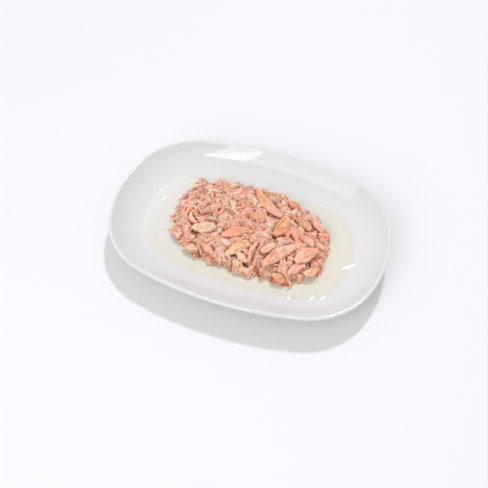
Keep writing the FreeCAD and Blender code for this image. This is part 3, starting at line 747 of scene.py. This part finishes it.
# the large flakes, by CAD node number: tone, second tone towards its right end, width left at both ends
largeTones = {
    1: ("pink", "palePink", 0.35, 0.8), 2: ("palePink", "pink", 0.6, 0.55),
    3: ("brightPink", "orange", 0.3, 0.8), 4: ("cream", "cream", 0.25, 0.85),
    5: ("orange", "brightPink", 0.85, 0.12), 6: ("cream", "orange", 0.15, 0.85),
    7: ("orange", "orange", 0.6, 0.8), 8: ("palePink", "cream", 0.6, 0.7),
    9: ("pink", "palePink", 0.6, 0.8), 10: ("palePink", "brightPink", 0.3, 0.6),
    11: ("brown", "brown", 0.8, 0.8), 12: ("brightPink", "pink", 0.6, 0.4),
    13: ("pink", "palePink", 0.4, 0.7), 14: ("cream", "palePink", 0.6, 0.5),
    15: ("pink", "brightPink", 0.4, 0.7), 16: ("cream", "orange", 0.5, 0.5),
    17: ("cream", "palePink", 0.5, 0.6), 18: ("pink", "palePink", 0.4, 0.7),
    19: ("pink", "orange", 0.5, 0.6), 20: ("pink", "palePink", 0.6, 0.5),
    21: ("pink", "deepPink", 0.5, 0.6), 22: ("greyPink", "pink", 0.5, 0.5),
    23: ("pink", "palePink", 0.6, 0.6), 24: ("pink", "palePink", 0.5, 0.6),
}
largeShape = {
    "rows": 32, "columns": 90, "fibre": 0.14, "ragged": 0.03, "cleft": 0.55, "curl": 0.15, "dent": 0.1,
    "shoulders": (5.0, 11.0),
    "cornerTurns": (24, 80, 152, 207, 262, 334),  # six corners, so that both ends break off bluntly
    "slants": (1.0, 2.1),    # radians, so that partings run along the flake
    "cleftSpacing": (3.0, 5.5),
}
largeFit = {
    "firstSeed": 900,
    "flatten": 0.9,
    "limit": 0.56,           # of the CAD flake's size, either way from its middle
    "narrowest": 0.4,        # an end's width where the table says 0
    "spotCell": 3.1,
    "spotTint": 0.07,
}


def makeLargeFlake(node, material):
    # one cleft slab within the CAD flake's own extents
    number = int(node[-2:])
    middle, axes, size = largeOnes[node]
    *tones, startWidth, stopWidth = largeTones[number]
    rng = np.random.default_rng(largeFit["firstSeed"] + number)
    least = largeFit["narrowest"]
    ends = [least + (1 - least) * width for width in (startWidth, stopWidth)]
    sizes = size[None] * np.array([1.0, 1.0, largeFit["flatten"]])
    points, uv, reliefShade = closeShells(*slabPoints(rng, sizes, ends=ends, **largeShape))
    spanned = points[0, :, :2].max(0) - points[0, :, :2].min(0)
    points[..., :2] *= size[:2] / spanned
    points = np.clip(points, -size * largeFit["limit"], size * largeFit["limit"])
    placed = points @ axes + middle
    share = points[..., 0] / (size[0] / 2)
    spots = latticeNoise(placed[..., 0], placed[..., 1], largeFit["spotCell"], seed=40 + number)
    blend = smoothStep(-0.45, 0.55, share + 0.5 * spots)[..., None]
    first, second = (hexToLinear(fleshTones[tone]) for tone in tones)
    base = (first * (1 - blend) + second * blend) * (1 + largeFit["spotTint"] * spots[..., None])
    # painted shade: the lower part and underside of the flake darker and redder, ridges lighter
    low = 2.5 * smoothStep(0.2, -0.9, points[..., 2] / (size[2] / 2))
    colour = shadeFlesh(base, reliefShade, low)
    faces = shellFaces(1, largeShape["rows"], largeShape["columns"])
    return makePiece(f"largeFlake{number:02d}", placed, faces, material, uv, colour)


# The broth: a thin clear pool between the heap and the wall, its edge uneven by a millimetre or so
broth = {
    "around": 600,
    "out": 74,
    "edgeWander": 0.16,      # unevenness of its level at the wall, whose slope spreads it
    "climbHeap": 0.03,       # how far the broth climbs the flakes
    "climbWidth": 0.9,
    "climbWall": 0.12,
    "climbWallWidth": 0.45,
    "tint": "#FCFAF0",
    "ior": 1.34,
    "start": 0.8,            # the pool starts under the heap, at this share of its reach
    "crowding": 1.6,         # above 1, the mesh is closer together towards the wall
    "ripple": 0.02,
    "leastDepth": 0.12,
    # low swells of the surface: x, y, direction in degrees, half length, half width, height
    "swells": (
        (-81.0, 6.0, 76, 2.6, 0.9, 0.42),
        (-78.6, 11.0, 74, 3.2, 0.9, 0.40),
        (83.0, -1.0, 42, 5.5, 1.2, 0.12),
        (-84.9, 19.5, 76, 3.0, 0.7, 0.30),
        (-82.9, 25.5, 73, 3.2, 0.7, 0.30),
        (-79.9, 32.5, 69, 3.6, 0.7, 0.30),
        (44.7, -45.3, 83, 1.4, 1.4, 0.24),
        (62.2, -41.0, 66, 2.0, 0.8, 0.11),
        (70.5, -37.0, 60, 1.8, 1.0, 0.075),
        (76.5, -33.6, 52, 2.8, 1.0, 0.07),
    ),
}


def swellHeight(x, y):
    # each swell: height * exp(-(along / half length)^2 / 2 - (across / half width)^2 / 2)
    total = np.zeros(np.shape(x))
    for middleX, middleY, turn, halfLength, halfWidth, height in broth["swells"]:
        c, s = math.cos(math.radians(turn)), math.sin(math.radians(turn))
        along = (x - middleX) * c + (y - middleY) * s
        across = (y - middleY) * c - (x - middleX) * s
        total += height * np.exp(-(along / halfLength) ** 2 / 2 - (across / halfWidth) ** 2 / 2)
    return total


def makeBroth(material):
    # rows from under the heap to the wall; the underside lies within the dish's floor and wall
    normals = evenNormals(broth["around"])
    edgeX, edgeY = outlinePoints(dish["floorInset"] / 2, normals)
    wander = latticeNoise(edgeX, edgeY, cell=9, seed=61)
    wander = wander + 0.6 * latticeNoise(edgeX, edgeY, cell=3.5, seed=62)
    edgeLevel = brothLevel + broth["climbWall"] + broth["edgeWander"] * wander
    radius = wallCurve()[0] - dish["wall"] / 2
    inset = dish["floorInset"] - np.sqrt(radius ** 2 - (radius - (edgeLevel - floorLevel)) ** 2)
    wallX, wallY = outlinePoints(0.0, normals)
    c, s = np.cos(normals), np.sin(normals)
    wallX, wallY = wallX - inset * c + rimMiddle[0], wallY - inset * s + rimMiddle[1]
    angles = np.arctan2(wallY - heapMiddle[1], wallX - heapMiddle[0])
    reach = heapReach(angles)
    startX = heapMiddle[0] + broth["start"] * reach * np.cos(angles)
    startY = heapMiddle[1] + broth["start"] * reach * np.sin(angles)
    share = 1 - (1 - np.linspace(0, 1, broth["out"])[:, None]) ** broth["crowding"]
    x, y = startX + (wallX - startX) * share, startY + (wallY - startY) * share
    fromHeap = np.hypot(x - heapMiddle[0], y - heapMiddle[1]) - reach
    fromWall = (1 - share) * np.hypot(wallX - startX, wallY - startY)
    z = brothLevel + broth["climbHeap"] * np.exp(-np.maximum(fromHeap, 0) / broth["climbWidth"])
    z = z + (edgeLevel - brothLevel) * np.exp(-fromWall / broth["climbWallWidth"])
    z = z + broth["ripple"] * latticeNoise(x, y, cell=8, seed=63) + swellHeight(x, y)
    floorBelow = wallHeight(inset + fromWall)
    below = np.minimum(floorBelow, z) - broth["leastDepth"]
    # the underside takes every sixth row
    top, bottom = np.stack([x, y, z], -1), np.stack([x, y, below], -1)[::-6]
    rows = np.concatenate([top, bottom, np.stack([x[:1], y[:1], below[:1]], -1)])
    # strongest where it is deep and towards the near right, fading unevenly at the edge
    toward = smoothStep(-70, 60, x - 1.2 * y)
    strength = smoothStep(0.1, 1.5, z - floorBelow) * (0.45 + 0.55 * toward)
    strength = strength * (0.85 + 0.15 * latticeNoise(x, y, cell=11, seed=64))
    clear = np.zeros((len(rows) - len(top), len(normals)))
    strength = np.concatenate([strength, clear])[..., None]
    colour = 1 + (hexToLinear(broth["tint"]) - 1) * np.clip(strength, 0, 1)
    faces = [gridFaces(len(rows), len(normals), closeRows=True, closeColumns=True)[:, ::-1]]
    return makePiece("brothPool", rows, faces, material, None, colour)


crumbs = {
    "seed": 71,
    "count": 150,
    "pool": 4,               # places tried for each crumb
    "size": (0.35, 1.3),
    "inset": (27, 60),       # rim to crumb
    "rows": 6,
    "columns": 7,
    "ragged": 0.1,
    "tones": ("#D98F55", "#E3B488", "#D9A08F"),
}


def makeCrumbs(material):
    # tiny orange and pink crumbs sunk in the broth round the heap
    rng = np.random.default_rng(crumbs["seed"])
    pool = crumbs["count"] * crumbs["pool"]
    normals = rng.uniform(0, tau, pool)
    x, y = outlinePoints(rng.uniform(*crumbs["inset"], pool), normals)
    x, y = x + rimMiddle[0], y + rimMiddle[1]
    near = readMap(cover, x, y) < 0.05
    x, y = x[near][:crumbs["count"]], y[near][:crumbs["count"]]
    count = len(x)
    length = rng.uniform(*crumbs["size"], count) * rng.uniform(0.5, 1, count)
    sizes = np.stack([length, length * rng.uniform(0.4, 0.9, count), length * 0.45], -1)
    rows, columns = crumbs["rows"], crumbs["columns"]
    points, uv, _ = closeShells(*slabPoints(rng, sizes, rows, columns, fibre=0.0, ragged=crumbs["ragged"]))
    flat = np.zeros(count)
    axes = axesFrom(rng.uniform(0, tau, count), flat, flat)
    placed = points @ axes + np.stack([x, y, floorLevel + length * 0.2], -1)[:, None]
    tones = np.array([hexToLinear(code) for code in crumbs["tones"]])
    colour = np.repeat(tones[rng.integers(0, len(tones), count)][:, None], points.shape[1], 1)
    return makePiece("brothCrumbs", placed, shellFaces(count, rows, columns), material, uv, colour)


# Materials
porcelain = {
    "glaze": "#E2E3E3",
    "bisque": "#DCD8D0",
    "roughness": 0.045,
    "bisqueRoughness": 0.65,
    "wetRoughness": 0.5,
    "ior": 1.52,
}


def porcelainMaterial():
    # colour = bisque below 0.8 mm (the dry foot ring), glaze above; mirror-smooth glaze with a faint wave:
    # bump = a quarter of 0.02 mm x noise of 30 mm cells; roughness = the larger of the glaze's own and, in
    # the basin below the broth's level, a high one, because glaze hardly mirrors through liquid
    material, tree = newMaterial("glazed porcelain, slip cast")
    place = addNode(tree, "TexCoord")
    split = addNode(tree, "SeparateXYZ", links={0: place.outputs["Object"]})
    dry = addNode(tree, "MapRange", {1: 0.6 * mm, 2: 1.0 * mm, 3: 1.0, 4: 0.0}, {0: split.outputs["Z"]})
    colour = addNode(tree, "Mix", {
        "data_type": "RGBA", 6: rgba(porcelain["glaze"]), 7: rgba(porcelain["bisque"]),
    }, {0: dry.outputs[0]})
    rough = addNode(tree, "MapRange", {3: porcelain["roughness"], 4: porcelain["bisqueRoughness"]},
                    {0: dry.outputs[0]})
    basin = addNode(tree, "Attribute", {"attribute_name": "pieceColour"})
    under = addNode(tree, "MapRange", {
        1: (brothLevel - 0.05) * mm, 2: (brothLevel + 0.15) * mm, 3: porcelain["wetRoughness"], 4: 0.0,
    }, {0: split.outputs["Z"]})
    wet = addNode(tree, "Math", {"operation": "MULTIPLY"}, {0: under.outputs[0], 1: basin.outputs["Fac"]})
    finish = addNode(tree, "Math", {"operation": "MAXIMUM"}, {0: rough.outputs[0], 1: wet.outputs[0]})
    wave = addNode(tree, "TexNoise", {"Scale": 33.0, "Detail": 1.0}, {"Vector": place.outputs["Object"]})
    bump = addNode(tree, "Bump", {"Strength": 0.25, "Distance": 0.02 * mm}, {"Height": wave.outputs[0]})
    shader = addNode(tree, "BsdfPrincipled", {"IOR": porcelain["ior"]}, {
        "Base Color": colour.outputs[2], "Roughness": finish.outputs[0], "Normal": bump.outputs[0],
    })
    addNode(tree, "OutputMaterial", links={"Surface": shader.outputs[0]})
    return material


flesh = {
    "streakAlong": 0.2,      # noise cells per mm along the fibres
    "streakAcross": 1.3,     # and across them
    # painted shade in the grooves and painted light on the ridges, over the fibres' own streaks
    "grooveShadeGamma": 1.75,     # the tone's power in the grooves between streaks
    "ridgeLightGamma": 0.6,       # and on their ridges
    "bumpHeight": 0.32,
    "roughness": 0.36,
    "subsurface": 0.16,
    "subsurfaceScale": 0.6,
}


def fleshMaterial():
    # colour = the flake's own tone to a power that runs from groove to ridge of noise drawn out along the
    # fibres, the same noise as the bump: darker in its grooves and lighter on its ridges, partly the
    # fibres' own streaky tone and partly painted shade and light; bump = the same streaks plus 0.35 x a
    # grain of 1.1 mm cells; a wet coat over a soft, slightly translucent body
    material, tree = newMaterial("cooked tuna flesh, flaked and wet")
    tone = addNode(tree, "Attribute", {"attribute_name": "pieceColour"})
    uv = addNode(tree, "UVMap", {"uv_map": "fibreMap"})
    drawn = addNode(tree, "Mapping", {"Scale": (flesh["streakAlong"], flesh["streakAcross"], 1)},
                    {"Vector": uv.outputs[0]})
    streak = addNode(tree, "TexNoise", {"Scale": 1.0, "Detail": 4.0, "Roughness": 0.6},
                     {"Vector": drawn.outputs[0]})
    place = addNode(tree, "TexCoord")
    grain = addNode(tree, "TexNoise", {"Scale": 900.0, "Detail": 3.0}, {"Vector": place.outputs["Object"]})
    power = addNode(tree, "MapRange", {1: 0.34, 2: 0.66, 3: flesh["grooveShadeGamma"], 4: flesh["ridgeLightGamma"]},
                    {0: streak.outputs[0]})
    colour = addNode(tree, "Gamma", links={"Color": tone.outputs["Color"], "Gamma": power.outputs[0]})
    height = addNode(tree, "Math", {"operation": "MULTIPLY_ADD", 1: 0.35},
                     {0: grain.outputs[0], 2: streak.outputs[0]})
    bump = addNode(tree, "Bump", {"Strength": 0.7, "Distance": flesh["bumpHeight"] * mm},
                   {"Height": height.outputs[0]})
    shader = addNode(tree, "BsdfPrincipled", {
        "Roughness": flesh["roughness"], "IOR": 1.42, "Subsurface Weight": flesh["subsurface"],
        "Subsurface Radius": (1.0, 0.42, 0.28), "Subsurface Scale": flesh["subsurfaceScale"] * mm,
        "Coat Weight": 0.25, "Coat Roughness": 0.12, "Coat IOR": 1.34,
    }, {"Base Color": colour.outputs[0], "Normal": bump.outputs[0]})
    addNode(tree, "OutputMaterial", links={"Surface": shader.outputs[0]})
    return material


def brothMaterial():
    # clear liquid: light passes straight through a faint yellow tint, and the surface mirrors by its
    # Fresnel share, which is the same from above and below, because the light isn't bent here
    material, tree = newMaterial("thin fish broth")
    side = addNode(tree, "NewGeometry")
    ior = addNode(tree, "MapRange", {3: broth["ior"], 4: 1 / broth["ior"]},
                  {0: side.outputs["Backfacing"]})
    share = addNode(tree, "Fresnel", links={"IOR": ior.outputs[0]})
    tint = addNode(tree, "Attribute", {"attribute_name": "pieceColour"})
    clear = addNode(tree, "BsdfTransparent", links={"Color": tint.outputs["Color"]})
    mirror = addNode(tree, "BsdfPrincipled", {
        "Base Color": rgba("#FFFFFF"), "Metallic": 1.0, "Roughness": 0.02, "IOR": broth["ior"],
    })
    mixed = addNode(tree, "MixShader",
                    links={0: share.outputs[0], 1: clear.outputs[0], 2: mirror.outputs[0]})
    addNode(tree, "OutputMaterial", links={"Surface": mixed.outputs[0]})
    return material


def tableMaterial():
    # plain matt white board
    material, tree = newMaterial("matt white board")
    shader = addNode(tree, "BsdfPrincipled", {"Base Color": rgba(light["table"]), "Roughness": 0.6})
    addNode(tree, "OutputMaterial", links={"Surface": shader.outputs[0]})
    return material


# Light: an even white surround, a key light high behind the dish and a wide softbox high in front
light = {
    "table": "#EFEEF0",
    "tableHalf": 2400.0,
    "surround": 0.645,       # strength on the part; the camera sees the backdrop's own colour
    "backdrop": "#F6F5F7",
    "keyAzimuth": 180.0,     # 0 is the near side (-Y), 90 the right (+X), 180 the far side
    "keyElevation": 61.0,
    "keyDistance": 2600.0,
    "keySize": 230.0,
    "keyWatts": 23.0,
    "keyColour": "#FBF7FF",
    "softDistance": 1500.0,
    # two parts of a tall window in front: azimuth, elevation, width, height, watts
    "window": ((-5.6, 37.0, 160.0, 1050.0, 1.9), (-24.6, 37.0, 790.0, 1050.0, 4.9)),
}


def direction(azimuth, elevation):
    # unit vector towards a place: azimuth 0 is the near side, 90 the right
    a, e = math.radians(azimuth), math.radians(elevation)
    return Vector((math.sin(a) * math.cos(e), -math.cos(a) * math.cos(e), math.sin(e)))


def areaLight(name, azimuth, elevation, distance, size, watts, colour="#FFFFFF"):
    # a rectangular lamp that faces the dish
    data = bpy.data.lights.new(name, "AREA")
    data.shape, data.energy, data.color = "RECTANGLE", watts, hexToLinear(colour)
    data.size, data.size_y = size[0] * mm, size[1] * mm
    lamp = bpy.data.objects.new(name, data)
    away = direction(azimuth, elevation)
    lamp.location = away * distance * mm
    lamp.rotation_euler = away.to_track_quat("Z", "Y").to_euler()
    scene.collection.objects.link(lamp)


def makeSurround():
    # an even white sky, seen by the camera as a plain backdrop
    world = bpy.data.worlds.new("white surround")
    world.use_nodes = True
    tree = world.node_tree
    tree.nodes.clear()
    sky = addNode(tree, "Background", {"Color": rgba("#FFFFFF"), "Strength": light["surround"]})
    seen = addNode(tree, "Background", {"Color": rgba(light["backdrop"]), "Strength": 1.0})
    ray = addNode(tree, "LightPath")
    mixed = addNode(tree, "MixShader",
                    links={0: ray.outputs["Is Camera Ray"], 1: sky.outputs[0], 2: seen.outputs[0]})
    addNode(tree, "OutputWorld", links={"Surface": mixed.outputs[0]})
    scene.world = world


def makeTable():
    mesh = bpy.data.meshes.new("table")
    half = light["tableHalf"] * mm
    corners = [(-half, -half, 0), (half, -half, 0), (half, half, 0), (-half, half, 0)]
    mesh.from_pydata(corners, [], [(0, 1, 2, 3)])
    mesh.materials.append(tableMaterial())
    table = bpy.data.objects.new("table", mesh)
    scene.collection.objects.link(table)


camera = {
    "azimuth": 19.59,
    "elevation": 54.44,
    "target": (3.05, -20.9, 25.0),
    "distance": 612.0,
    "lens": 59.5,
    "sensor": 36.0,
}


def makeCamera():
    data = bpy.data.cameras.new("camera")
    data.lens, data.sensor_width = camera["lens"], camera["sensor"]
    eye = bpy.data.objects.new("camera", data)
    away = direction(camera["azimuth"], camera["elevation"])
    eye.location = (Vector(camera["target"]) + away * camera["distance"]) * mm
    eye.rotation_euler = away.to_track_quat("Z", "Y").to_euler()
    scene.collection.objects.link(eye)
    scene.camera = eye


def placePiece(piece, nodes):
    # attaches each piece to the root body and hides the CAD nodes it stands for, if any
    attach(piece, "root")
    if nodes:
        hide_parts(*nodes)


fleshSurface = fleshMaterial()
placePiece(makeDish(porcelainMaterial()), ["dish"])
print("dish done")
placePiece(makeBroth(brothMaterial()), ["broth"])
placePiece(makeCrumbs(fleshSurface), [])
print("broth done")
placePiece(makeHeapMass(fleshSurface), ["flake_heap"])
print("heap mass done")
for flakeName in flakeKinds:
    placePiece(makeFlakes(flakeName, fleshSurface), [])
    print(flakeName, "done")
for node in largeOnes:
    placePiece(makeLargeFlake(node, fleshSurface), [node])
print("large flakes done:", len(largeOnes))

makeTable()
makeSurround()
areaLight("keyLight", light["keyAzimuth"], light["keyElevation"], light["keyDistance"],
          (light["keySize"], light["keySize"]), light["keyWatts"], light["keyColour"])
for part, (azimuth, elevation, width, height, watts) in enumerate(light["window"]):
    areaLight(f"window{part}", azimuth, elevation, light["softDistance"], (width, height), watts)
makeCamera()
scene.view_settings.view_transform = "Standard"
